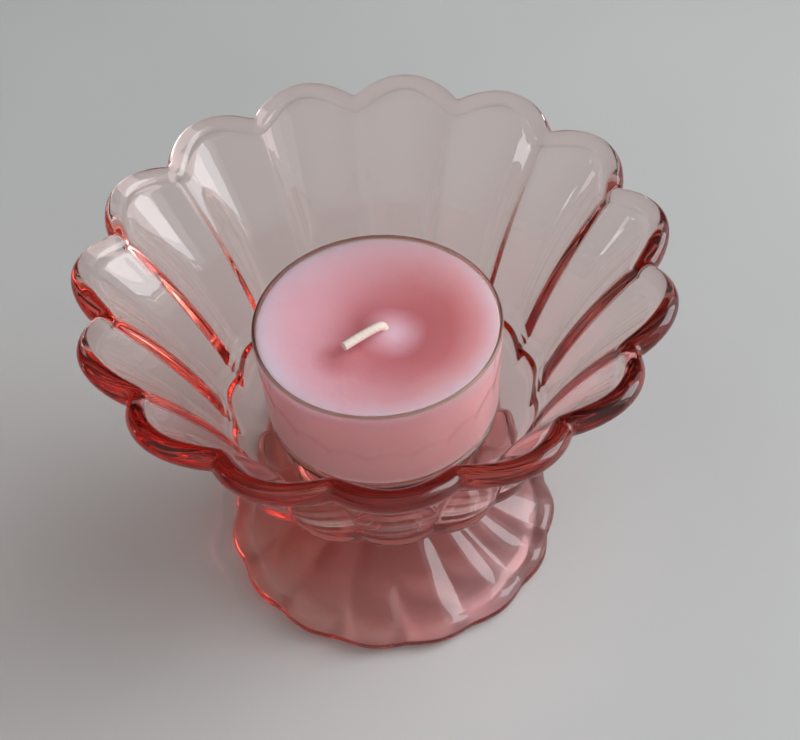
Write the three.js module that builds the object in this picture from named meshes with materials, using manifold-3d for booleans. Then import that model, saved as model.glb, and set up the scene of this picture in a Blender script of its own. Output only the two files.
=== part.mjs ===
// Stemmed tealight holder: a pressed-glass bowl of petals on a short stem and a scalloped foot,
// with a tealight in a clear plastic cup standing in the bowl.
// Millimetres, +Z up. The origin is the centre of the foot's underside and the front is -Y.

import * as THREE from 'three';
import { mergeVertices } from 'three/addons/utils/BufferGeometryUtils.js';
import Module from 'manifold-3d';

// Petals of the bowl, with a petal at the front and as many scallops on the foot
const PETALS = 15;
const STEPS_PER_PETAL = 6;
const FRONT_PETAL = THREE.MathUtils.degToRad(-89);
const HALF_PETAL = Math.PI / PETALS;
const GROOVE_SHARPNESS = 0.8;
const RIDGE_SHARPNESS = 1.5;
const FLUTE_SHARPNESS = 1.3;

// Foot, radii in the grooves between scallops, and the hollow under it as radius and height
const FOOT_RADIUS = 26.9;
const FOOT_EDGE = 1.8;
const FOOT_SCALLOP = 0.8;
const FOOT_FLUTE = 0.9;
const FOOT_HOLLOW = [[0, 2.2], [10, 2.1], [17, 1.7], [21.2, 1], [22.8, 0.4], [23.4, 0]];
const HOLLOW_STEPS = 5;

// Top of the foot, waist of the stem and underside of the bowl, as radius and height
const STEM_LINE = [
  [22.5, 4.6], [17.5, 7.6], [12.6, 11.4], [10.3, 16], [11.2, 21], [14.8, 24.8], [19, 26.1],
];
const STEM_STEPS = 16;
const FOOT_TOP_STEPS = 6;
const FLUTE_END_STEPS = 2;

// Base under the bowl
const BASE_RADIUS = 25.7;
const BASE_BOTTOM_Z = 26.2;
const BASE_EDGE = 3.6;
const BASE_EDGE_STEPS = 4;
const BASE_SCALLOP = 1.2;

// Bowl, radii in the grooves outside and on the ridges inside
const FLOOR_Z = 30;
const FLOOR_FILLET = 1.4;
const FLOOR_EDGE_RADIUS = 23.3;
const FLOOR_SCALLOP = 0.5;
const HEEL_Z = 31.2;
const HEEL_ROUND = 1.3;
const RIM_RADIUS = 40.6;
const RIM_Z = 58.7;
const WALL = 3.1;
const FLARE_STRAIGHT = 0.55;
const PETAL_DEPTH = 3.5;
const PETAL_RISE = 1.7;
const WALL_STEPS = 6;

// Rolled lip, from under its outside over the top to the inside
const LIP_WIDTH = 3.22;
const LIP_HEIGHT = 1.5;
const LIP_START = THREE.MathUtils.degToRad(-40);
const LIP_STEPS = 9;
const OUTSIDE_TOP = 0.955;

// Steps in each smaller rounded edge of the glass, and in the corners of the tealight
const EDGE_STEPS = 2;
const CORNER_STEPS = 3;

// Clearance between pieces that touch
const GAP = 0.3;

// Clear cup of the tealight, standing on the bowl's floor
const CUP_RADIUS = 19;
const CUP_BASE_RADIUS = 18.2;
const CUP_HEIGHT = 18.8;
const CUP_WALL = 0.6;
const CUP_CORNER = 1.2;
const CUP_RIM_STEPS = 4;
const CUP_SEGMENTS = 48;

// Wax body inside the cup, with a dished top and a mound round the wick
const WAX_BELOW_RIM = 0.4;
const WAX_CORNER = 2.4;
const WAX_EDGE = 0.5;
const DISH_DEPTH = 1.5;
const MOUND_HEIGHT = 1.2;
const MOUND_RADIUS = 3.2;
const WAX_TOP_STEPS = 9;

// Wick and the tin tab that holds its foot. The bend is points of the wick's line, as x, y and the
// height over the wax beside the wick.
const WICK_RADIUS = 0.7;
const WICK_BEND = [[0.8, -0.4, -3], [1, -0.5, -0.5], [0.2, -1.1, 0.7], [-2.4, -2.9, 1], [-5.2, -4.9, 1.1]];
const WICK_SIDES = 8;
const WICK_STEPS = 22;
const TAB_RADIUS = 6.5;
const TAB_THICKNESS = 0.4;
const TAB_SEGMENTS = 32;
const COLLAR_RADIUS = 1.7;
const COLLAR_HEIGHT = 3.2;

const CUP_Z = FLOOR_Z + GAP;
const CUP_TOP_Z = CUP_Z + CUP_HEIGHT;
const CUP_FLOOR_Z = CUP_Z + CUP_WALL;
const TAB_Z = CUP_FLOOR_Z + GAP;
const WAX_RADIUS = CUP_RADIUS - CUP_WALL - GAP;
const WAX_BASE_RADIUS = CUP_BASE_RADIUS - CUP_WALL - GAP;
const WAX_TOP_Z = CUP_TOP_Z - WAX_BELOW_RIM;

const { lerp } = THREE.MathUtils;
const point = (r, z) => new THREE.Vector2(r, z);
const shares = (steps) => Array.from({ length: steps + 1 }, (_, i) => i / steps);

// How far a petal stands out at an azimuth: 0 in the groove, 1 along the petal's middle.
function petalWave(azimuth, middle, sharpness) {
  return Math.abs(Math.cos((PETALS / 2) * (azimuth - middle))) ** sharpness;
}

const outsideWave = (azimuth) => petalWave(azimuth, FRONT_PETAL, GROOVE_SHARPNESS);
const insideWave = (azimuth) => petalWave(azimuth, FRONT_PETAL, RIDGE_SHARPNESS);
const footWave = (azimuth) => petalWave(azimuth, FRONT_PETAL + HALF_PETAL, FLUTE_SHARPNESS);

// A point of the glass outline, where the petals stand out and up by the given depths.
const station = (p, wave, out = 0, up = 0) => ({ r: p.x, z: p.y, wave, out, up });

// A stretch of stations whose depths go evenly from the start to the end of the stretch.
function stretch(points, wave, [outStart, outEnd], [upStart, upEnd] = [0, 0]) {
  return points.map((p, i) => {
    const share = i / (points.length - 1);
    return station(p, wave, lerp(outStart, outEnd, share), lerp(upStart, upEnd, share));
  });
}

// A quarter round from its lowest point out to its side, or from its side up to its top.
function roundBelow(r, z, size, steps) {
  return new THREE.EllipseCurve(r, z, size, size, -Math.PI / 2, 0).getPoints(steps);
}

function roundAbove(r, z, size, steps) {
  return new THREE.EllipseCurve(r, z, size, size, 0, Math.PI / 2).getPoints(steps);
}

// Bowl's wall at a share of its height: steep at the floor, flared at the rim.
function wallPoint(share, outwards) {
  const flare = RIM_RADIUS - LIP_WIDTH - FLOOR_EDGE_RADIUS;
  const opening = FLARE_STRAIGHT * share + (1 - FLARE_STRAIGHT) * share ** 2;
  const z = lerp(FLOOR_Z + FLOOR_FILLET, RIM_Z, share);
  return point(FLOOR_EDGE_RADIUS + flare * opening + outwards, z);
}

// The lip's round. The petals turn over it from the sharp grooves outside to the ridges inside.
function lipStations() {
  const middle = RIM_RADIUS - LIP_WIDTH / 2;
  const over = new THREE.EllipseCurve(middle, RIM_Z, LIP_WIDTH / 2, LIP_HEIGHT, LIP_START, Math.PI);
  return over.getPoints(LIP_STEPS).map((p, i) => {
    const sharpness = lerp(GROOVE_SHARPNESS, RIDGE_SHARPNESS, Math.max(0, (2 * i) / LIP_STEPS - 1));
    const wave = (azimuth) => petalWave(azimuth, FRONT_PETAL, sharpness);
    return station(p, wave, PETAL_DEPTH, PETAL_RISE);
  });
}

// Outline of the glass from the middle of the foot's hollow, up the outside, over the lip and
// down to the middle of the bowl's floor.
function glassOutline() {
  const footShoulder = FOOT_RADIUS - FOOT_EDGE;
  const baseShoulder = BASE_RADIUS - BASE_EDGE;
  const heelShoulder = wallPoint(0, WALL).x - HEEL_ROUND;
  const hollow = new THREE.SplineCurve(FOOT_HOLLOW.map(([r, z]) => point(r, z)))
    .getPoints(HOLLOW_STEPS);
  const footEdge = [
    ...roundBelow(footShoulder, FOOT_EDGE, FOOT_EDGE, EDGE_STEPS),
    ...roundAbove(footShoulder, FOOT_EDGE, FOOT_EDGE, EDGE_STEPS).slice(1, -1),
  ];
  const stem = new THREE.SplineCurve([
    point(footShoulder, 2 * FOOT_EDGE),
    ...STEM_LINE.map(([r, z]) => point(r, z)),
    point(baseShoulder, BASE_BOTTOM_Z),
  ]).getPoints(STEM_STEPS).slice(0, -1);
  const footTop = stem.slice(0, FOOT_TOP_STEPS);
  const fluteEnd = stem.slice(FOOT_TOP_STEPS, FOOT_TOP_STEPS + FLUTE_END_STEPS);
  const flare = stem.slice(FOOT_TOP_STEPS + FLUTE_END_STEPS);
  const base = [
    ...roundBelow(baseShoulder, BASE_BOTTOM_Z + BASE_EDGE, BASE_EDGE, BASE_EDGE_STEPS),
    point(BASE_RADIUS, HEEL_Z),
    ...roundBelow(heelShoulder, HEEL_Z + HEEL_ROUND, HEEL_ROUND, EDGE_STEPS),
  ];
  const wallStation = (share, outwards, wave, scallop) => station(
    wallPoint(share, outwards), wave, lerp(scallop, PETAL_DEPTH, share), PETAL_RISE * share);
  const outside = shares(WALL_STEPS).slice(1)
    .map((share) => wallStation(OUTSIDE_TOP * share, WALL, outsideWave, BASE_SCALLOP));
  const inside = shares(WALL_STEPS).slice(0, -1).reverse()
    .map((share) => wallStation(share, 0, insideWave, FLOOR_SCALLOP));
  const floorEdge = roundBelow(
    FLOOR_EDGE_RADIUS - FLOOR_FILLET, FLOOR_Z + FLOOR_FILLET, FLOOR_FILLET, EDGE_STEPS)
    .reverse().slice(1);
  return [
    ...stretch(hollow, footWave, [0, FOOT_SCALLOP]),
    ...stretch(footEdge, footWave, [FOOT_SCALLOP, FOOT_SCALLOP], [0, FOOT_FLUTE]),
    ...stretch(footTop, footWave, [FOOT_SCALLOP, 0], [FOOT_FLUTE, FOOT_FLUTE]),
    ...stretch(fluteEnd, footWave, [0, 0], [FOOT_FLUTE, 0]),
    ...stretch(flare, outsideWave, [0, BASE_SCALLOP]),
    ...stretch(base, outsideWave, [BASE_SCALLOP, BASE_SCALLOP]),
    ...outside,
    ...lipStations(),
    ...inside,
    ...stretch(floorEdge, insideWave, [FLOOR_SCALLOP, 0]),
    station(point(0, FLOOR_Z), insideWave),
  ];
}

function glassGeometry() {
  const outline = glassOutline();
  const profile = outline.map(({ r, z }) => point(r, z));
  const start = FRONT_PETAL + Math.PI / 2;
  const geometry = new THREE.LatheGeometry(profile, PETALS * STEPS_PER_PETAL, start);
  geometry.rotateX(Math.PI / 2);
  const position = geometry.getAttribute('position');
  for (let i = 0; i < position.count; i += 1) {
    const { r, z, wave, out, up } = outline[i % outline.length];
    const azimuth = Math.atan2(position.getY(i), position.getX(i));
    const bulge = wave(azimuth);
    const radius = r + out * bulge;
    position.setXYZ(i, radius * Math.cos(azimuth), radius * Math.sin(azimuth), z + up * bulge);
  }
  return geometry;
}

function turned(profile, segments) {
  return new THREE.LatheGeometry(profile, segments).rotateX(Math.PI / 2);
}

function cupGeometry() {
  const half = CUP_WALL / 2;
  const rim = new THREE.EllipseCurve(
    CUP_RADIUS - half, CUP_TOP_Z - half, half, half, 0, Math.PI).getPoints(CUP_RIM_STEPS);
  const shoulder = CUP_BASE_RADIUS - CUP_CORNER;
  return turned([
    point(0, CUP_Z),
    ...roundBelow(shoulder, CUP_Z + CUP_CORNER, CUP_CORNER, CORNER_STEPS),
    ...rim,
    ...roundBelow(shoulder - CUP_WALL, CUP_FLOOR_Z + CUP_CORNER, CUP_CORNER, CORNER_STEPS).reverse(),
    point(0, CUP_FLOOR_Z),
  ], CUP_SEGMENTS);
}

// Height of the wax's top: a shallow dish with a mound in its middle.
function waxTop(radius) {
  const dish = (DISH_DEPTH / 2) * (1 + Math.cos((Math.PI * radius) / WAX_RADIUS));
  return WAX_TOP_Z - dish + MOUND_HEIGHT * Math.exp(-((radius / MOUND_RADIUS) ** 2));
}

// The wax before the wick's channel, hollowed underneath for the tab and its collar.
function waxBlank() {
  const tabTop = TAB_Z + TAB_THICKNESS + GAP;
  const collarTop = TAB_Z + COLLAR_HEIGHT + GAP;
  const topRadii = shares(WAX_TOP_STEPS).reverse().map((share) => share * (WAX_RADIUS - WAX_EDGE));
  return turned([
    point(0, collarTop),
    point(COLLAR_RADIUS + GAP, collarTop),
    point(COLLAR_RADIUS + GAP, tabTop),
    point(TAB_RADIUS + GAP, tabTop),
    point(TAB_RADIUS + GAP, TAB_Z),
    ...roundBelow(WAX_BASE_RADIUS - WAX_CORNER, TAB_Z + WAX_CORNER, WAX_CORNER, CORNER_STEPS),
    point(WAX_RADIUS, WAX_TOP_Z - WAX_EDGE),
    ...topRadii.map((radius) => point(radius, waxTop(radius))),
  ], CUP_SEGMENTS);
}

// Line of the wick: up from the tab's collar through the wax, then bent over to the front left.
const wickLine = new THREE.CatmullRomCurve3([
  new THREE.Vector3(0, 0, TAB_Z + TAB_THICKNESS + GAP),
  new THREE.Vector3(0, 0, TAB_Z + 2 * COLLAR_HEIGHT),
  ...WICK_BEND.map(([x, y, rise]) => new THREE.Vector3(x, y, waxTop(0) + rise)),
]);

function wickGeometry(radius) {
  const section = new THREE.Shape().absarc(0, 0, radius, 0, 2 * Math.PI);
  return new THREE.ExtrudeGeometry(section, {
    curveSegments: WICK_SIDES,
    steps: WICK_STEPS,
    extrudePath: wickLine,
  });
}

function tabGeometry() {
  const bore = WICK_RADIUS + GAP;
  const discTop = TAB_Z + TAB_THICKNESS;
  const collarTop = TAB_Z + COLLAR_HEIGHT;
  return turned([
    point(0, TAB_Z),
    point(TAB_RADIUS, TAB_Z),
    point(TAB_RADIUS, discTop),
    point(COLLAR_RADIUS, discTop),
    point(COLLAR_RADIUS, collarTop),
    point(bore, collarTop),
    point(bore, discTop),
    point(0, discTop),
  ], TAB_SEGMENTS);
}

const wasm = await Module();
wasm.setup();

function toSolid(geometry) {
  const bare = new THREE.BufferGeometry();
  bare.setAttribute('position', geometry.getAttribute('position'));
  bare.setIndex(geometry.getIndex());
  const merged = mergeVertices(bare);
  return new wasm.Manifold(new wasm.Mesh({
    numProp: 3,
    vertProperties: merged.getAttribute('position').array,
    triVerts: new Uint32Array(merged.getIndex().array),
  }));
}

function toGeometry(solid) {
  const { vertProperties, triVerts } = solid.getMesh();
  const geometry = new THREE.BufferGeometry();
  geometry.setAttribute('position', new THREE.BufferAttribute(vertProperties, 3));
  geometry.setIndex(new THREE.BufferAttribute(triVerts, 1));
  return geometry;
}

// The wax is cast round the wick, so the wick's channel follows its line.
function waxGeometry() {
  const channel = toSolid(wickGeometry(WICK_RADIUS + GAP));
  return toGeometry(toSolid(waxBlank()).subtract(channel));
}

function piece(name, geometry, color, roughness, metalness = 0) {
  const material = new THREE.MeshStandardMaterial({ color, roughness, metalness });
  const mesh = new THREE.Mesh(geometry, material);
  mesh.name = name;
  return mesh;
}

const tealight = new THREE.Group();
tealight.add(
  piece('tealight_cup', cupGeometry(), 0xe8e4dc, 0.1),
  piece('wax_fill', waxGeometry(), 0xd99aa6, 0.45),
  piece('wick', wickGeometry(WICK_RADIUS), 0xefe6dc, 0.9),
  piece('wick_sustainer', tabGeometry(), 0xb8b8b4, 0.35, 1),
);

const holder = new THREE.Group();
holder.add(piece('glass_holder', glassGeometry(), 0xe58a80, 0.05), tealight);

export default holder;
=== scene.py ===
import math

import bpy
from mathutils import Matrix, Vector


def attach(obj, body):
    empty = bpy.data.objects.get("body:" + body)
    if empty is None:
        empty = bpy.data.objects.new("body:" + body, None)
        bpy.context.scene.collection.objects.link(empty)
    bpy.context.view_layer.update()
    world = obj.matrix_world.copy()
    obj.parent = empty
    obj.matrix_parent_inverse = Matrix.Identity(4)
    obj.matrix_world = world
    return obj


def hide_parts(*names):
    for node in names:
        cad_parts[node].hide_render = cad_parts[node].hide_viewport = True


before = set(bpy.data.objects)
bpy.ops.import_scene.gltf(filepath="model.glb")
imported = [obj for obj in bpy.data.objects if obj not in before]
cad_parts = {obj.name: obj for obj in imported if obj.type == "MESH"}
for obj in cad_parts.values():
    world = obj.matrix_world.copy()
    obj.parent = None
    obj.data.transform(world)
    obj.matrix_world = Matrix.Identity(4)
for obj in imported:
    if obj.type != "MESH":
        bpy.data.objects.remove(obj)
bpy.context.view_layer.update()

# The holder: a bowl of petals with a rolled lip, a waisted stem and a fluted foot with a shallow
# hollow under it, pressed in one mould from transparent pink glass, so it is one piece. One wall
# is nearly clear, and where light runs a long way inside, along lips and grooves, it is coral.

PETALS = 15
STEPS_PER_PETAL = 26
FRONT_PETAL = math.radians(-89)
HALF_PETAL = math.pi / PETALS
GROOVE_SHARPNESS = 0.8
RIDGE_SHARPNESS = 1.5
FLUTE_SHARPNESS = 1.3
GROOVE_ROUND = 0.06

FOOT_RADIUS = 0.0269
FOOT_EDGE = 0.0018
FOOT_SCALLOP = 0.0008
FOOT_FLUTE = 0.0009
FOOT_HOLLOW = [
    (0.0, 0.0022), (0.010, 0.0021), (0.017, 0.0017), (0.0212, 0.0010), (0.0228, 0.0004),
    (0.0234, 0.0)]
STEM_LINE = [
    (0.0225, 0.0046), (0.0175, 0.0076), (0.0126, 0.0114), (0.0103, 0.0160), (0.0112, 0.0210),
    (0.0148, 0.0248), (0.0190, 0.0261)]
HOLLOW_STEPS = 5
FOOT_EDGE_STEPS = 14
STEM_STEPS = 7
# Steps of the stem's line at which the flutes start to fade, and at which they are gone.
FLUTES_END = 20
WAIST_END = 29

BASE_RADIUS = 0.0257
BASE_BOTTOM_Z = 0.0262
BASE_EDGE = 0.0036
BASE_SCALLOP = 0.0012
BASE_EDGE_STEPS = 12
BAND_STEPS = 4
HEEL_Z = 0.0312
HEEL_ROUND = 0.0013
HEEL_STEPS = 6

FLOOR_Z = 0.030
FLOOR_FILLET = 0.0014
FLOOR_EDGE_RADIUS = 0.0233
FLOOR_SCALLOP = 0.0005
FLOOR_EDGE_STEPS = 7
FLOOR_STEPS = 6

RIM_RADIUS = 0.0406
RIM_Z = 0.0587
WALL = 0.0031
WALL_STEPS = 24
# The share of the wall's height at which its outside goes under the lip.
OUTSIDE_TOP = 0.955
LIP_WIDTH = 0.00322
LIP_HEIGHT = 0.0015
LIP_START = -40
LIP_STEPS = 36
FLARE_STRAIGHT = 0.55
PETAL_DEPTH = 0.0035
PETAL_RISE = 0.0017

# How sharp the petals are on each face of the glass, and how far they are turned.
OUTSIDE = (GROOVE_SHARPNESS, 0.0)
INSIDE = (RIDGE_SHARPNESS, 0.0)
FOOT = (FLUTE_SHARPNESS, HALF_PETAL)


def lerp(a, b, share):
    return a + (b - a) * share


def arc(centre_r, centre_z, size_r, size_z, start, end, steps):
    """Points of an elliptic arc in the plane of radius and height, angles in degrees."""
    angles = [math.radians(lerp(start, end, i / steps)) for i in range(steps + 1)]
    return [(centre_r + size_r * math.cos(a), centre_z + size_z * math.sin(a)) for a in angles]


def lip_line():
    """The rolled lip, from under its outside over the top to the inside."""
    half = LIP_WIDTH / 2
    over = arc(RIM_RADIUS - half, RIM_Z, half, LIP_HEIGHT, LIP_START, 180, LIP_STEPS)
    line = []
    for i, (r, z) in enumerate(over):
        sharpness = lerp(GROOVE_SHARPNESS, RIDGE_SHARPNESS, max(0.0, 2 * i / LIP_STEPS - 1))
        line.append((r, z, sharpness, 0.0, PETAL_DEPTH, PETAL_RISE))
    return line


def smooth_line(points, steps):
    """A curve through the points, the same number of steps between each pair."""
    ends = [points[0]] + list(points) + [points[-1]]
    line = []
    for before, a, b, after in zip(ends, ends[1:], ends[2:], ends[3:]):
        for i in range(steps):
            t = i / steps
            line.append(tuple(
                q + 0.5 * t * (r - p + t * (2 * p - 5 * q + 4 * r - s + t * (3 * (q - r) + s - p)))
                for p, q, r, s in zip(before, a, b, after)))
    return line + [tuple(points[-1])]


def wall_point(share, outwards):
    """The bowl's wall at a share of its height: steep at the floor, flared at the rim."""
    opening = FLARE_STRAIGHT * share + (1 - FLARE_STRAIGHT) * share ** 2
    radius = FLOOR_EDGE_RADIUS + (RIM_RADIUS - LIP_WIDTH - FLOOR_EDGE_RADIUS) * opening + outwards
    return radius, lerp(FLOOR_Z + FLOOR_FILLET, RIM_Z, share)


def stretch(points, wave, out, up=(0.0, 0.0)):
    """Outline points whose petals stand out and up by depths that change evenly along them."""
    last = len(points) - 1
    return [(r, z, *wave, lerp(*out, i / last), lerp(*up, i / last))
            for i, (r, z) in enumerate(points)]


def wall(shares, outwards, wave, scallop):
    """Outline points of one face of the bowl's wall."""
    return [(*wall_point(s, outwards), *wave, lerp(scallop, PETAL_DEPTH, s), PETAL_RISE * s)
            for s in shares]


def glass_outline():
    """From the middle of the hollow, up the outside, over the lip, to the middle of the floor."""
    foot_shoulder = FOOT_RADIUS - FOOT_EDGE
    base_shoulder = BASE_RADIUS - BASE_EDGE
    heel_shoulder = wall_point(0, WALL)[0] - HEEL_ROUND
    hollow = smooth_line(FOOT_HOLLOW, HOLLOW_STEPS)
    foot_edge = arc(foot_shoulder, FOOT_EDGE, FOOT_EDGE, FOOT_EDGE, -90, 90, FOOT_EDGE_STEPS)
    stem = smooth_line([foot_edge[-1], *STEM_LINE, (base_shoulder, BASE_BOTTOM_Z)], STEM_STEPS)
    base = arc(base_shoulder, BASE_BOTTOM_Z + BASE_EDGE, BASE_EDGE, BASE_EDGE,
               -90, 0, BASE_EDGE_STEPS)
    band = [(BASE_RADIUS, lerp(base[-1][1], HEEL_Z, i / BAND_STEPS))
            for i in range(1, BAND_STEPS + 1)]
    heel = arc(heel_shoulder, HEEL_Z + HEEL_ROUND, HEEL_ROUND, HEEL_ROUND, -90, 0, HEEL_STEPS)
    shares = [i / WALL_STEPS for i in range(WALL_STEPS + 1)]
    floor_edge = arc(FLOOR_EDGE_RADIUS - FLOOR_FILLET, FLOOR_Z + FLOOR_FILLET,
                     FLOOR_FILLET, FLOOR_FILLET, 0, -90, FLOOR_EDGE_STEPS)
    floor = [(floor_edge[-1][0] * i / FLOOR_STEPS, FLOOR_Z) for i in reversed(range(FLOOR_STEPS))]
    return [
        *stretch(hollow, FOOT, (0.0, FOOT_SCALLOP)),
        *stretch(foot_edge, FOOT, (FOOT_SCALLOP, FOOT_SCALLOP), (0.0, FOOT_FLUTE)),
        *stretch(stem[1:FLUTES_END], FOOT, (FOOT_SCALLOP, 0.0), (FOOT_FLUTE, FOOT_FLUTE)),
        *stretch(stem[FLUTES_END:WAIST_END], FOOT, (0.0, 0.0), (FOOT_FLUTE, 0.0)),
        *stretch(stem[WAIST_END:-1], OUTSIDE, (0.0, BASE_SCALLOP)),
        *stretch([*base, *band, *heel], OUTSIDE, (BASE_SCALLOP, BASE_SCALLOP)),
        *wall([OUTSIDE_TOP * share for share in shares[1:]], WALL, OUTSIDE, BASE_SCALLOP),
        *lip_line(),
        *wall(shares[-2::-1], 0.0, INSIDE, FLOOR_SCALLOP),
        *stretch(floor_edge[1:], INSIDE, (FLOOR_SCALLOP, 0.0)),
        *stretch(floor, INSIDE, (0.0, 0.0)),
    ]


def outline_mesh(name, stations):
    """A line of points at radius and height, with each petal depth as an attribute."""
    mesh = bpy.data.meshes.new(name)
    line = [(i, i + 1) for i in range(len(stations) - 1)]
    mesh.from_pydata([(s[0], 0.0, s[1]) for s in stations], line, [])
    for column, key in enumerate(("sharpness", "shift", "out", "up"), start=2):
        values = mesh.attributes.new(key, "FLOAT", "POINT").data
        values.foreach_set("value", [s[column] for s in stations])
    return mesh


class Nodes:
    """Adds nodes to a tree. Inputs are given by socket, as plain values or as joined sockets."""

    def __init__(self, tree):
        self.tree = tree

    def add(self, kind, inputs=None, out=0, **settings):
        node = self.tree.nodes.new(kind)
        for key, value in settings.items():
            setattr(node, key, value)
        for key, value in (inputs or {}).items():
            self.set(node.inputs[key], value)
        return node.outputs[out] if node.outputs else node

    def set(self, socket, value):
        if isinstance(value, bpy.types.NodeSocket):
            self.tree.links.new(value, socket)
        else:
            socket.default_value = value

    def math(self, operation, a, b=0.0):
        return self.add("ShaderNodeMath", {0: a, 1: b}, operation=operation)

    def noise(self, place, scale, detail):
        return self.add("ShaderNodeTexNoise", {"Vector": place, "Scale": scale, "Detail": detail})

    def bump(self, height, strength, distance):
        return self.add("ShaderNodeBump", {
            "Height": height, "Strength": strength, "Distance": distance})

    def remap(self, value, source, target):
        """A value that goes between the two targets as it goes between the two sources."""
        limits = dict(enumerate((value, *source, *target)))
        return self.add("ShaderNodeMapRange", limits)

    def stored(self, name):
        return self.add("GeometryNodeInputNamedAttribute", {"Name": name}, data_type="FLOAT")

    def vector(self, operation, inputs, out=0):
        return self.add("ShaderNodeVectorMath", inputs, out=out, operation=operation)

    def length(self, vector):
        return self.vector("LENGTH", {0: vector}, out="Value")

    def mix(self, share, first, second):
        """A colour that goes from the first to the second as the share goes from 0 to 1."""
        return self.add("ShaderNodeMix", {0: share, 6: first, 7: second}, out=2, data_type="RGBA")

    def ramp(self, value, stops):
        """Colours along a value, each stop a position and a colour."""
        colour = self.add("ShaderNodeValToRGB", {"Fac": value})
        elements = colour.node.color_ramp.elements
        while len(elements) < len(stops):
            elements.new(1.0)
        for element, (position, shade) in zip(elements, stops):
            element.position = position
            element.color = (*shade, 1.0)
        return colour


MERGE_DISTANCE = 1e-6


def geometry_tree(name, inputs, result):
    """A geometry tree with its named inputs, as the tree, its nodes and its input sockets."""
    tree = bpy.data.node_groups.new(name, "GeometryNodeTree")
    for key, kind in inputs.items():
        tree.interface.new_socket(key, in_out="INPUT", socket_type="NodeSocket" + kind)
    tree.interface.new_socket(result, in_out="OUTPUT", socket_type="NodeSocketGeometry")
    return tree, Nodes(tree), tree.nodes.new("NodeGroupInput").outputs[:len(inputs)]


def finish_tree(n, shape, material):
    """Ends a geometry tree: smooth, real and in its material."""
    smooth = n.add("GeometryNodeSetShadeSmooth", {"Geometry": shape})
    real = n.add("GeometryNodeRealizeInstances", {"Geometry": smooth})
    dressed = n.add("GeometryNodeSetMaterial", {"Geometry": real, "Material": material})
    n.add("NodeGroupOutput", {0: dressed})


def petal_sweep():
    """Sweeps an outline round the Z axis and pushes it out and up in petals."""
    tree, n, (outline, petals, steps, front, groove_round, glass) = geometry_tree("petal_sweep", {
        "Outline": "Geometry", "Petals": "Int", "Steps per Petal": "Int", "Front Petal": "Float",
        "Groove Round": "Float", "Glass": "Material"}, "Holder")
    stations = n.add("GeometryNodeAttributeDomainSize", {"Geometry": outline})
    columns = n.math("MULTIPLY", petals, steps)
    grid = n.add("GeometryNodeMeshGrid", {
        "Vertices X": n.math("ADD", columns, 1.0), "Vertices Y": stations})
    index = n.add("GeometryNodeInputIndex")
    station = n.math("FLOORED_MODULO", index, stations)
    column = n.math("FLOOR", n.math("DIVIDE", n.math("ADD", index, 0.5), stations))

    def sampled(data_type, value):
        return n.add("GeometryNodeSampleIndex", {
            "Geometry": outline, "Value": value, "Index": station}, data_type=data_type)

    def attribute(name):
        return sampled("FLOAT", n.stored(name))

    place = sampled("FLOAT_VECTOR", n.add("GeometryNodeInputPosition"))
    turn = n.math("MULTIPLY", n.math("DIVIDE", column, columns), 2 * math.pi)
    shifted = n.math("SUBTRACT", turn, attribute("shift"))
    cosine = n.math("COSINE", n.math("MULTIPLY", shifted, n.math("DIVIDE", petals, 2)))
    rounding = n.math("MULTIPLY", groove_round, groove_round)
    square = n.math("ADD", n.math("MULTIPLY", cosine, cosine), rounding)
    bulge = n.math("POWER", square, n.math("MULTIPLY", attribute("sharpness"), 0.5))
    split = n.add("ShaderNodeSeparateXYZ", {"Vector": place}).node
    radius = n.math("ADD", split.outputs["X"], n.math("MULTIPLY", attribute("out"), bulge))
    height = n.math("ADD", split.outputs["Z"], n.math("MULTIPLY", attribute("up"), bulge))
    azimuth = n.math("ADD", front, turn)
    point = n.add("ShaderNodeCombineXYZ", {
        "X": n.math("MULTIPLY", radius, n.math("COSINE", azimuth)),
        "Y": n.math("MULTIPLY", radius, n.math("SINE", azimuth)),
        "Z": height})
    swept = n.add("GeometryNodeSetPosition", {"Geometry": grid, "Position": point})
    closed = n.add("GeometryNodeMergeByDistance", {"Geometry": swept, "Distance": MERGE_DISTANCE})
    finish_tree(n, closed, glass)
    return tree


def placed(name, data):
    """A new object in the scene, at the origin."""
    thing = bpy.data.objects.new(name, data)
    bpy.context.scene.collection.objects.link(thing)
    return thing


def grown(name, mesh, tree, values):
    """Runs a geometry tree on a mesh and keeps the result as a plain mesh object."""
    source = placed(name + "_source", mesh)
    modifier = source.modifiers.new("grow", "NODES")
    modifier.node_group = tree
    sockets = {s.name: s.identifier for s in tree.interface.items_tree if s.in_out == "INPUT"}
    for key, value in values.items():
        modifier[sockets[key]] = value
    evaluated = source.evaluated_get(bpy.context.evaluated_depsgraph_get())
    result = bpy.data.meshes.new_from_object(evaluated)
    bpy.data.objects.remove(source)
    result.name = name
    return placed(name, result)


def new_material(name):
    """A material with its nodes, its Principled shader and where each point is on the piece."""
    material = bpy.data.materials.new(name)
    material.use_nodes = True
    n = Nodes(material.node_tree)
    place = n.add("ShaderNodeTexCoord", out="Object")
    return material, n, material.node_tree.nodes["Principled BSDF"], place


def make_clear(n, shader, ior, passes, density):
    """Turns a material into a clear one that takes up light on the way through it."""
    shader.inputs["Transmission Weight"].default_value = 1.0
    shader.inputs["IOR"].default_value = ior
    inside = n.add("ShaderNodeVolumeAbsorption", {"Color": passes, "Density": density})
    n.set(n.tree.nodes["Material Output"].inputs["Volume"], inside)


GLASS_IOR = 1.52
GLASS_PASSES = (0.922, 0.60, 0.545, 1.0)
GLASS_DENSITY = 138.0
# Where the painted light and shade on the foot fades out upwards, and the span from left to right
# that it is painted across.
FOOT_FADE = (0.006, 0.018)
FOOT_LIGHT_ACROSS = (-0.014, 0.016)
FOOT_WEAR = 0.05
GLASS_HAZE = 0.006


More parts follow.
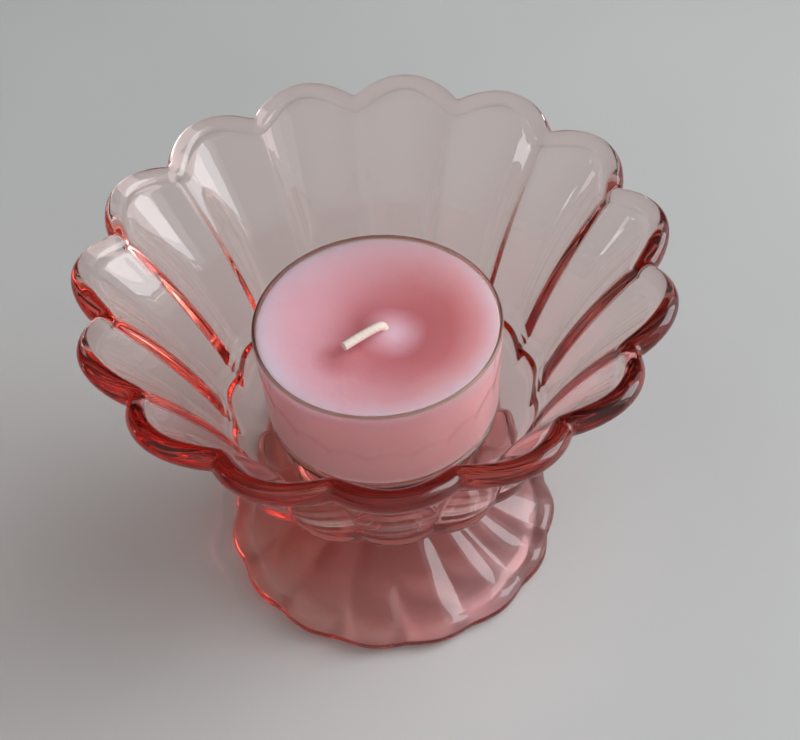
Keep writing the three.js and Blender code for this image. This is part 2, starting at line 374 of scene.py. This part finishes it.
def pink_glass():
    material, n, shader, place = new_material("pink_glass")
    waves = n.noise(place, 70.0, 2.0)
    haze = n.noise(place, 160.0, 3.0)
    split = n.add("ShaderNodeSeparateXYZ", {"Vector": place}).node
    low = n.remap(split.outputs["Z"], FOOT_FADE, (1.0, 0.0))
    toward_window = n.remap(split.outputs["X"], FOOT_LIGHT_ACROSS, (0.0, 1.0))
    clear = n.ramp(haze, [(0.3, (1.0, 0.975, 0.97)), (0.7, (1.0, 0.99, 0.985))])
    # Painted light and shade on the foot: its tint runs from beige at the left, where the foot is
    # in shade, through pink in the middle to lavender on the right, where the window's light falls
    # on it.
    foot = n.ramp(toward_window, [
        (0.0, (1.0, 0.91, 0.89)), (0.55, (1.0, 0.80, 0.83)), (1.0, (1.0, 0.91, 0.96))])
    n.set(shader.inputs["Base Color"], n.mix(low, clear, foot))
    worn = n.math("MULTIPLY", low, FOOT_WEAR)
    hazy = n.remap(haze, (0.35, 0.75), (0.0, GLASS_HAZE))
    n.set(shader.inputs["Roughness"], n.math("ADD", worn, hazy))
    n.set(shader.inputs["Normal"], n.bump(waves, 0.03, 0.002))
    make_clear(n, shader, GLASS_IOR, GLASS_PASSES, GLASS_DENSITY)
    return material


outline = outline_mesh("glass_outline", glass_outline())
holder = grown("glass_holder_visual", outline, petal_sweep(), {
    "Petals": PETALS, "Steps per Petal": STEPS_PER_PETAL, "Front Petal": FRONT_PETAL,
    "Groove Round": GROOVE_ROUND, "Glass": pink_glass()})
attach(holder, "holder")
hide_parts("glass_holder")

# The tealight's cup: a thin clear plastic shell, injection moulded, with a small rounded rim.
# It stands on the bowl's floor and lifts out.

GAP = 0.0003
CUP_RADIUS = 0.019
CUP_BASE_RADIUS = 0.0182
CUP_HEIGHT = 0.0188
CUP_WALL = 0.0006
CUP_CORNER = 0.0012
CUP_Z = FLOOR_Z + GAP
CUP_TOP_Z = CUP_Z + CUP_HEIGHT
CUP_FLOOR_Z = CUP_Z + CUP_WALL
CUP_CORNER_STEPS = 8
CUP_RIM_STEPS = 10
CUP_FLOOR_STEPS = 4
ROUND_SEGMENTS = 128


def turned(name, outline, segments, material):
    """A closed mesh turned from an outline that starts and ends on the axis."""
    vertices = []
    rings = []
    for r, z in outline:
        if r == 0.0:
            rings.append([len(vertices)] * segments)
            vertices.append((0.0, 0.0, z))
            continue
        rings.append(list(range(len(vertices), len(vertices) + segments)))
        angles = [2 * math.pi * i / segments for i in range(segments)]
        vertices += [(r * math.cos(a), r * math.sin(a), z) for a in angles]
    faces = []
    for low, high in zip(rings, rings[1:]):
        for i in range(segments):
            j = (i + 1) % segments
            corners = [low[i], low[j], high[j], high[i]]
            faces.append(list(dict.fromkeys(corners)))
    mesh = bpy.data.meshes.new(name)
    mesh.from_pydata(vertices, [], faces)
    mesh.materials.append(material)
    mesh.shade_smooth()
    return placed(name, mesh)


def cup_outline():
    shoulder = CUP_BASE_RADIUS - CUP_CORNER
    half = CUP_WALL / 2
    outer = arc(shoulder, CUP_Z + CUP_CORNER, CUP_CORNER, CUP_CORNER, -90, 0, CUP_CORNER_STEPS)
    rim = arc(CUP_RADIUS - half, CUP_TOP_Z - half, half, half, 0, 180, CUP_RIM_STEPS)
    inner = arc(shoulder - CUP_WALL, CUP_FLOOR_Z + CUP_CORNER, CUP_CORNER, CUP_CORNER,
                0, -90, CUP_CORNER_STEPS)
    shares = [i / CUP_FLOOR_STEPS for i in range(CUP_FLOOR_STEPS)]
    bottom = [(shoulder * share, CUP_Z) for share in shares]
    floor = [((shoulder - CUP_WALL) * share, CUP_FLOOR_Z) for share in reversed(shares)]
    return [*bottom, *outer, *rim, *inner, *floor]


CUP_IOR = 1.5
CUP_PASSES = (0.72, 0.62, 0.45, 1.0)
CUP_DENSITY = 110.0


def clear_plastic():
    material, n, shader, place = new_material("clear_cup")
    flow = n.noise(place, 90.0, 2.0)
    height = n.add("ShaderNodeSeparateXYZ", {"Vector": place}, out="Z")
    # The olive-brown rim is painted shade: the dark that the thin clear plastic edge refracts is
    # painted into its colour, along a line that the noise makes waver.
    wavering = n.math("MULTIPLY", n.math("SUBTRACT", flow, 0.5), CUP_WALL / 4)
    worn = n.math("ADD", height, wavering)
    rim = n.remap(worn, (CUP_TOP_Z - CUP_WALL, CUP_TOP_Z - CUP_WALL / 2), (0.0, 1.0))
    n.set(shader.inputs["Base Color"], n.ramp(rim, [
        (0.0, (0.985, 0.98, 0.96)), (1.0, (0.42, 0.36, 0.25))]))
    n.set(shader.inputs["Roughness"], n.remap(rim, (0.0, 1.0), (0.01, 0.60)))
    n.set(shader.inputs["Normal"], n.bump(flow, 0.03, 0.001))
    make_clear(n, shader, CUP_IOR, CUP_PASSES, CUP_DENSITY)
    return material


cup = turned("tealight_cup_visual", cup_outline(), ROUND_SEGMENTS, clear_plastic())
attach(cup, "tealight")
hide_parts("tealight_cup")

# The wick's tab: a disc of tinplate with a drawn collar that grips the foot of the wick. It sits
# on the cup's floor and the wax is poured round it.

TAB_Z = CUP_FLOOR_Z + GAP
TAB_RADIUS = 0.0065
TAB_THICKNESS = 0.0004
COLLAR_RADIUS = 0.0017
COLLAR_HEIGHT = 0.0032
COLLAR_ROOT = 0.0003
COLLAR_LIP = 0.0002
TAB_EDGE_STEPS = 6
COLLAR_ROOT_STEPS = 4
TAB_SEGMENTS = 64
WICK_RADIUS = 0.0007


def tab_outline():
    bore = WICK_RADIUS + GAP
    disc_top = TAB_Z + TAB_THICKNESS
    collar_top = TAB_Z + COLLAR_HEIGHT
    half = TAB_THICKNESS / 2
    edge = arc(TAB_RADIUS - half, TAB_Z + half, half, half, -90, 90, TAB_EDGE_STEPS)
    root = arc(COLLAR_RADIUS + COLLAR_ROOT, disc_top + COLLAR_ROOT, COLLAR_ROOT, COLLAR_ROOT,
               270, 180, COLLAR_ROOT_STEPS)
    lip = arc((COLLAR_RADIUS + bore) / 2, collar_top - COLLAR_LIP,
              (COLLAR_RADIUS - bore) / 2, COLLAR_LIP, 0, 180, TAB_EDGE_STEPS)
    return [(0.0, TAB_Z), *edge, *root, *lip, (bore, disc_top), (0.0, disc_top)]


def tinplate():
    material, n, shader, place = new_material("tinplate")
    stretched = n.add("ShaderNodeMapping", {"Vector": place, "Scale": (1.0, 14.0, 14.0)})
    grain = n.noise(stretched, 120.0, 4.0)
    n.set(shader.inputs["Base Color"], n.ramp(grain, [
        (0.3, (0.56, 0.56, 0.54)), (0.7, (0.70, 0.70, 0.68))]))
    n.set(shader.inputs["Roughness"], n.remap(grain, (0.3, 0.7), (0.22, 0.42)))
    n.set(shader.inputs["Normal"], n.bump(grain, 0.15, 0.0005))
    shader.inputs["Metallic"].default_value = 1.0
    return material


tab = turned("wick_sustainer_visual", tab_outline(), TAB_SEGMENTS, tinplate())
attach(tab, "candle")
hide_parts("wick_sustainer")

# The wax: translucent pink paraffin poured into the cup round the tab and the wick. It shrank a
# little as it set, so its top is a shallow dish with a small mound where it climbs the wick. Its
# side clings to the cup with no air between them.

WAX_BELOW_RIM = 0.0004
WAX_BITE = 0.0001
WAX_CORNER = 0.0024
WAX_EDGE = 0.0005
DISH_DEPTH = 0.0015
MOUND_HEIGHT = 0.0012
MOUND_RADIUS = 0.0032
WAX_CORNER_STEPS = 10
WAX_EDGE_STEPS = 6
WAX_TOP_STEPS = 40
WAX_RADIUS = CUP_RADIUS - CUP_WALL + WAX_BITE
WAX_BASE_RADIUS = CUP_BASE_RADIUS - CUP_WALL + WAX_BITE
WAX_TOP_Z = CUP_TOP_Z - WAX_BELOW_RIM


def wax_top(radius):
    """Height of the wax's top: a shallow dish with a mound in its middle."""
    dish = DISH_DEPTH * 0.5 * (1 + math.cos(math.pi * radius / WAX_RADIUS))
    return WAX_TOP_Z - dish + MOUND_HEIGHT * math.exp(-(radius / MOUND_RADIUS) ** 2)


def wax_outline():
    tab_top = TAB_Z + TAB_THICKNESS + GAP
    collar_top = TAB_Z + COLLAR_HEIGHT + GAP
    recess = [(0.0, collar_top), (COLLAR_RADIUS + GAP, collar_top), (COLLAR_RADIUS + GAP, tab_top),
              (TAB_RADIUS + GAP, tab_top), (TAB_RADIUS + GAP, TAB_Z)]
    corner = arc(WAX_BASE_RADIUS - WAX_CORNER, TAB_Z + WAX_CORNER, WAX_CORNER, WAX_CORNER,
                 -90, 0, WAX_CORNER_STEPS)
    brim = WAX_RADIUS - WAX_EDGE
    edge = arc(brim, wax_top(brim) - WAX_EDGE, WAX_EDGE, WAX_EDGE, 0, 90, WAX_EDGE_STEPS)
    top = [brim * (WAX_TOP_STEPS - i) / WAX_TOP_STEPS for i in range(1, WAX_TOP_STEPS + 1)]
    return [*recess, *corner, *edge, *[(r, wax_top(r)) for r in top]]


WAX_IOR = 1.43
SIDE_BELOW_TOP = (0.004, 0.0012)
# How far the centre of the painted highlight and ring is set aside from the axis towards the front
# right, and how far noise moves the ring.
RING_ASIDE = (0.0024, -0.0020, 0.0)
RING_DRIFT = 0.004
# Where the painted shadow of the wick's tip lies on the wax, and how far it spreads.
SHADOW_SPOT_AT = (-0.0064, -0.0066, 0.0)
SHADOW_SPOT_RADIUS = (0.0008, 0.0042)
SHADED = (0.60, 0.30, 0.33, 1.0)
WICK_TIP_SHADOW = (0.66, 0.19, 0.21, 1.0)


def pink_wax():
    material, n, shader, place = new_material("pink_wax")
    x, y, z = n.add("ShaderNodeSeparateXYZ", {"Vector": place}).node.outputs
    flat = n.add("ShaderNodeCombineXYZ", {"X": x, "Y": y})
    reach = n.math("DIVIDE", n.length(flat), WAX_RADIUS)
    inner = n.math("MAXIMUM", n.math("SUBTRACT", 1.0, n.math("MULTIPLY", reach, reach)), 0.0)
    aside = n.vector("SCALE", {0: RING_ASIDE, "Scale": inner})
    radius = n.length(n.vector("SUBTRACT", {0: flat, 1: aside}))
    cloud = n.noise(place, 110.0, 3.0)
    drift = n.math("MULTIPLY", n.math("SUBTRACT", cloud, 0.5), RING_DRIFT)
    share = n.math("DIVIDE", n.math("ADD", radius, drift), WAX_RADIUS)
    # Painted light and shade on the wax's top, over its own pink: a pale painted highlight on the
    # mound, a deeper rose ring of painted shade round it and a pale lavender edge lit by the
    # window.
    pale = n.ramp(share, [
        (0.0, (0.87, 0.56, 0.66)), (0.10, (0.82, 0.45, 0.54)), (0.30, (0.69, 0.23, 0.27)),
        (0.52, (0.80, 0.38, 0.45)), (0.78, (0.88, 0.49, 0.58)), (1.0, (0.94, 0.68, 0.80))])
    rose = n.ramp(share, [
        (0.0, (0.87, 0.56, 0.66)), (0.10, (0.82, 0.45, 0.54)), (0.30, (0.70, 0.20, 0.22)),
        (0.54, (0.74, 0.22, 0.235)), (0.78, (0.85, 0.42, 0.46)), (1.0, (0.95, 0.74, 0.84))])
    # A paler lit copy of the top on the left and a deeper rose shaded copy on the right, away from
    # the window, with painted shade darkening the back and front edges.
    right = n.remap(x, (-0.010, 0.012), (0.0, 1.0))
    back = n.remap(y, (0.003, 0.018), (0.0, 0.50))
    front = n.remap(y, (-0.009, -0.018), (0.0, 0.26))
    top = n.mix(n.math("MAXIMUM", back, front), n.mix(right, pale, rose), SHADED)
    # Painted shadow: a dark rose spot on the wax just beyond the wick's tip.
    from_shadow_spot = n.vector("DISTANCE", {0: flat, 1: SHADOW_SPOT_AT}, out="Value")
    top = n.mix(n.remap(from_shadow_spot, SHADOW_SPOT_RADIUS, (0.75, 0.0)), top, WICK_TIP_SHADOW)
    # The side, seen through the cup, is a bright salmon pink: partly the wax's own colour and
    # partly painted light, standing for the glow that the translucent wax carries from its lit top
    # down its side.
    deep = n.remap(z, [WAX_TOP_Z - below for below in SIDE_BELOW_TOP], (1.0, 0.0))
    outer = n.math("MULTIPLY", deep, n.remap(reach, (0.90, 0.96), (0.0, 1.0)))
    side = n.ramp(cloud, [(0.3, (0.96, 0.62, 0.68)), (0.7, (0.98, 0.66, 0.72))])
    n.set(shader.inputs["Base Color"], n.mix(outer, top, side))
    fine = n.noise(place, 900.0, 4.0)
    n.set(shader.inputs["Roughness"], n.remap(fine, (0.3, 0.7), (0.38, 0.55)))
    n.set(shader.inputs["Normal"], n.bump(fine, 0.08, 0.0005))
    shader.inputs["Subsurface Weight"].default_value = 0.9
    shader.inputs["Subsurface Radius"].default_value = (1.0, 0.5, 0.5)
    shader.inputs["Subsurface Scale"].default_value = 0.007
    shader.inputs["IOR"].default_value = WAX_IOR
    return material


wax = turned("wax_fill_visual", wax_outline(), ROUND_SEGMENTS, pink_wax())
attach(wax, "candle")
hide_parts("wax_fill")

# The wick: braided cotton stiffened with wax, held upright by the tab's collar and bent over to
# the front left where it leaves the wax. Its end is cut square.

WICK_SIDES = 24
WICK_STEP = 0.00012
WICK_ROUTE_STEPS = 12
BRAID_PITCH = 0.0016
BRAID_DEPTH = 0.00009


def wick_route():
    top = wax_top(0.0)
    return [
        (0.0, 0.0, TAB_Z + TAB_THICKNESS + GAP),
        (0.0, 0.0, TAB_Z + 2 * COLLAR_HEIGHT),
        (0.0008, -0.0004, top - 0.003),
        (0.0010, -0.0005, top - 0.0005),
        (0.0002, -0.0011, top + 0.0007),
        (-0.0024, -0.0029, top + 0.0010),
        (-0.0052, -0.0049, top + 0.0011),
    ]


def braid_sweep():
    """Sweeps a round section along a line and raises the crossing strands of a braid on it."""
    tree, n, (line, radius, sides, step, pitch, depth, cotton) = geometry_tree("braid_sweep", {
        "Line": "Geometry", "Radius": "Float", "Sides": "Int", "Step": "Float",
        "Braid Pitch": "Float", "Braid Depth": "Float", "Cotton": "Material"}, "Wick")
    curve = n.add("GeometryNodeMeshToCurve", {"Mesh": line})
    even = n.add("GeometryNodeResampleCurve", {"Curve": curve, "Length": step}, mode="LENGTH")
    section = n.add("GeometryNodeCurvePrimitiveCircle", {
        "Resolution": sides, "Radius": n.math("SUBTRACT", radius, depth)})

    def marked(curve, name, measure):
        value = n.add("GeometryNodeSplineParameter", out=measure)
        return n.add("GeometryNodeStoreNamedAttribute", {
            "Geometry": curve, "Name": name, "Value": value}, data_type="FLOAT", domain="POINT")

    tube = n.add("GeometryNodeCurveToMesh", {
        "Curve": marked(even, "along", "Length"),
        "Profile Curve": marked(section, "around", "Factor"),
        "Fill Caps": True})
    turn = n.math("MULTIPLY", n.math("DIVIDE", n.stored("along"), pitch), 2 * math.pi)
    angle = n.math("MULTIPLY", n.stored("around"), 4 * math.pi)
    left = n.math("ABSOLUTE", n.math("SINE", n.math("ADD", turn, angle)))
    right = n.math("ABSOLUTE", n.math("SINE", n.math("SUBTRACT", turn, angle)))
    lift = n.math("MULTIPLY", n.math("MAXIMUM", left, right), depth)
    push = n.vector("SCALE", {0: n.add("GeometryNodeInputNormal"), "Scale": lift})
    finish_tree(n, n.add("GeometryNodeSetPosition", {"Geometry": tube, "Offset": push}), cotton)
    return tree


def line_mesh(name, points):
    mesh = bpy.data.meshes.new(name)
    mesh.from_pydata(points, [(i, i + 1) for i in range(len(points) - 1)], [])
    return mesh


def wick_cotton():
    material, n, shader, place = new_material("wick_cotton")
    fibres = n.noise(place, 2500.0, 4.0)
    n.set(shader.inputs["Base Color"], n.ramp(fibres, [
        (0.3, (0.84, 0.71, 0.63)), (0.7, (0.93, 0.82, 0.75))]))
    n.set(shader.inputs["Roughness"], n.remap(fibres, (0.3, 0.7), (0.65, 0.9)))
    n.set(shader.inputs["Normal"], n.bump(fibres, 0.3, 0.0003))
    return material


wick_line = line_mesh("wick_line", smooth_line(wick_route(), WICK_ROUTE_STEPS))
wick = grown("wick_visual", wick_line, braid_sweep(), {
    "Radius": WICK_RADIUS, "Sides": WICK_SIDES, "Step": WICK_STEP, "Braid Pitch": BRAID_PITCH,
    "Braid Depth": BRAID_DEPTH, "Cotton": wick_cotton()})
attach(wick, "candle")
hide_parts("wick")

# The surface that the holder stands on: a smooth pale grey top with a soft gloss. A hair of air
# is left between it and the foot's ring, as under any glass.

FLOOR_HALF = 4.0
FLOOR_AIR = 0.00015


def pale_floor():
    material, n, shader, place = new_material("pale_floor")
    smear = n.noise(place, 9.0, 3.0)
    n.set(shader.inputs["Base Color"], n.ramp(smear, [
        (0.3, (0.59, 0.59, 0.59)), (0.7, (0.64, 0.64, 0.64))]))
    n.set(shader.inputs["Roughness"], n.remap(smear, (0.3, 0.7), (0.30, 0.38)))
    return material


floor_mesh = bpy.data.meshes.new("floor")
corners = ((-1, -1), (1, -1), (1, 1), (-1, 1))
floor_mesh.from_pydata(
    [(x * FLOOR_HALF, y * FLOOR_HALF, -FLOOR_AIR) for x, y in corners], [], [(0, 1, 2, 3)])
floor_mesh.materials.append(pale_floor())
table_top = placed("floor", floor_mesh)

# The light: a tall window on the right with a wide pale curtain round it, a small window far off
# on the left, and a dim room that is brightest overhead towards the front.

WINDOW_FAR = 0.8
WINDOW_TURN, WINDOW_RISE = math.radians(4), math.radians(30)
WINDOW_SIZE = (0.46, 0.64)
WINDOW_POWER = 4.0
WINDOW_COLOUR = (0.92, 0.97, 1.0)
CURTAIN_FAR = 0.82
CURTAIN_SIZE = (1.0, 0.95)
CURTAIN_POWER = 2.6
CURTAIN_COLOUR = (0.95, 0.98, 1.0)
FAR_WINDOW_FAR = 1.0
FAR_WINDOW_TURN, FAR_WINDOW_RISE = math.radians(166), math.radians(10.5)
FAR_WINDOW_SIZE = (0.09, 0.12)
FAR_WINDOW_POWER = 0.14
LAMPS_AIM_Z = 0.03
ROOM_LIGHT = 0.20
ROOM_RIGHT = 0.10
ROOM_BACK = -0.40
ROOM_TOP = 0.23
ROOM_DIMMEST = 0.04
ROOM_COLOUR = (1.0, 0.985, 0.96, 1.0)


def lamp(name, turn, rise, far, size, power, colour):
    """A flat lamp that faces the holder from a bearing, an elevation and a distance."""
    data = bpy.data.lights.new(name, "AREA")
    data.shape = "RECTANGLE"
    data.size, data.size_y = size
    data.energy = power
    data.color = colour
    level = Vector((math.cos(turn), math.sin(turn), 0.0)) * math.cos(rise)
    away = (level + Vector((0.0, 0.0, math.sin(rise)))) * far
    source = placed(name, data)
    source.location = away + Vector((0.0, 0.0, LAMPS_AIM_Z))
    source.rotation_euler = (-away).to_track_quat("-Z", "Y").to_euler()


lamp("window", WINDOW_TURN, WINDOW_RISE, WINDOW_FAR, WINDOW_SIZE, WINDOW_POWER, WINDOW_COLOUR)
lamp("curtain", WINDOW_TURN, WINDOW_RISE, CURTAIN_FAR, CURTAIN_SIZE, CURTAIN_POWER, CURTAIN_COLOUR)
lamp("far_window", FAR_WINDOW_TURN, FAR_WINDOW_RISE, FAR_WINDOW_FAR, FAR_WINDOW_SIZE,
     FAR_WINDOW_POWER, CURTAIN_COLOUR)

world = bpy.data.worlds.new("room")
world.use_nodes = True
bpy.context.scene.world = world
room = Nodes(world.node_tree)
direction = room.add("ShaderNodeTexCoord", out="Generated")
sides = room.add("ShaderNodeSeparateXYZ", {"Vector": direction}).node.outputs
brightness = ROOM_LIGHT
for side, amount in zip(sides, (ROOM_RIGHT, ROOM_BACK, ROOM_TOP)):
    brightness = room.math("ADD", brightness, room.math("MULTIPLY", side, amount))
walls = world.node_tree.nodes["Background"].inputs
walls["Color"].default_value = ROOM_COLOUR
room.set(walls["Strength"], room.math("MAXIMUM", brightness, ROOM_DIMMEST))

# The camera: above the front of the holder, looking down into the bowl, turned a little.

CAMERA_AT = (0.0, -0.1656, 0.2234)
CAMERA_DOWN = math.radians(48.26)
CAMERA_TURN = math.radians(1.01)
CAMERA_ROLL = math.radians(3.98)
CAMERA_LENS = 72.0
CAMERA_SENSOR = 36.0
CAMERA_NEAR = 0.01

outwards = Vector((math.sin(CAMERA_TURN), math.cos(CAMERA_TURN), 0.0)) * math.cos(CAMERA_DOWN)
ahead = outwards - Vector((0.0, 0.0, math.sin(CAMERA_DOWN)))
level = Vector((math.cos(CAMERA_TURN), -math.sin(CAMERA_TURN), 0.0))
below = ahead.cross(level)
right = level * math.cos(CAMERA_ROLL) + below * math.sin(CAMERA_ROLL)
down = below * math.cos(CAMERA_ROLL) - level * math.sin(CAMERA_ROLL)
camera_data = bpy.data.cameras.new("camera")
camera_data.lens = CAMERA_LENS
camera_data.sensor_width = CAMERA_SENSOR
camera_data.clip_start = CAMERA_NEAR
camera = placed("camera", camera_data)
camera.matrix_world = Matrix((right, -down, -ahead)).transposed().to_4x4()
camera.location = CAMERA_AT

scene = bpy.context.scene
scene.camera = camera
scene.view_settings.view_transform = "Standard"
scene.cycles.max_bounces = 32
scene.cycles.transmission_bounces = 32
scene.cycles.glossy_bounces = 12
scene.cycles.blur_glossy = 0.0
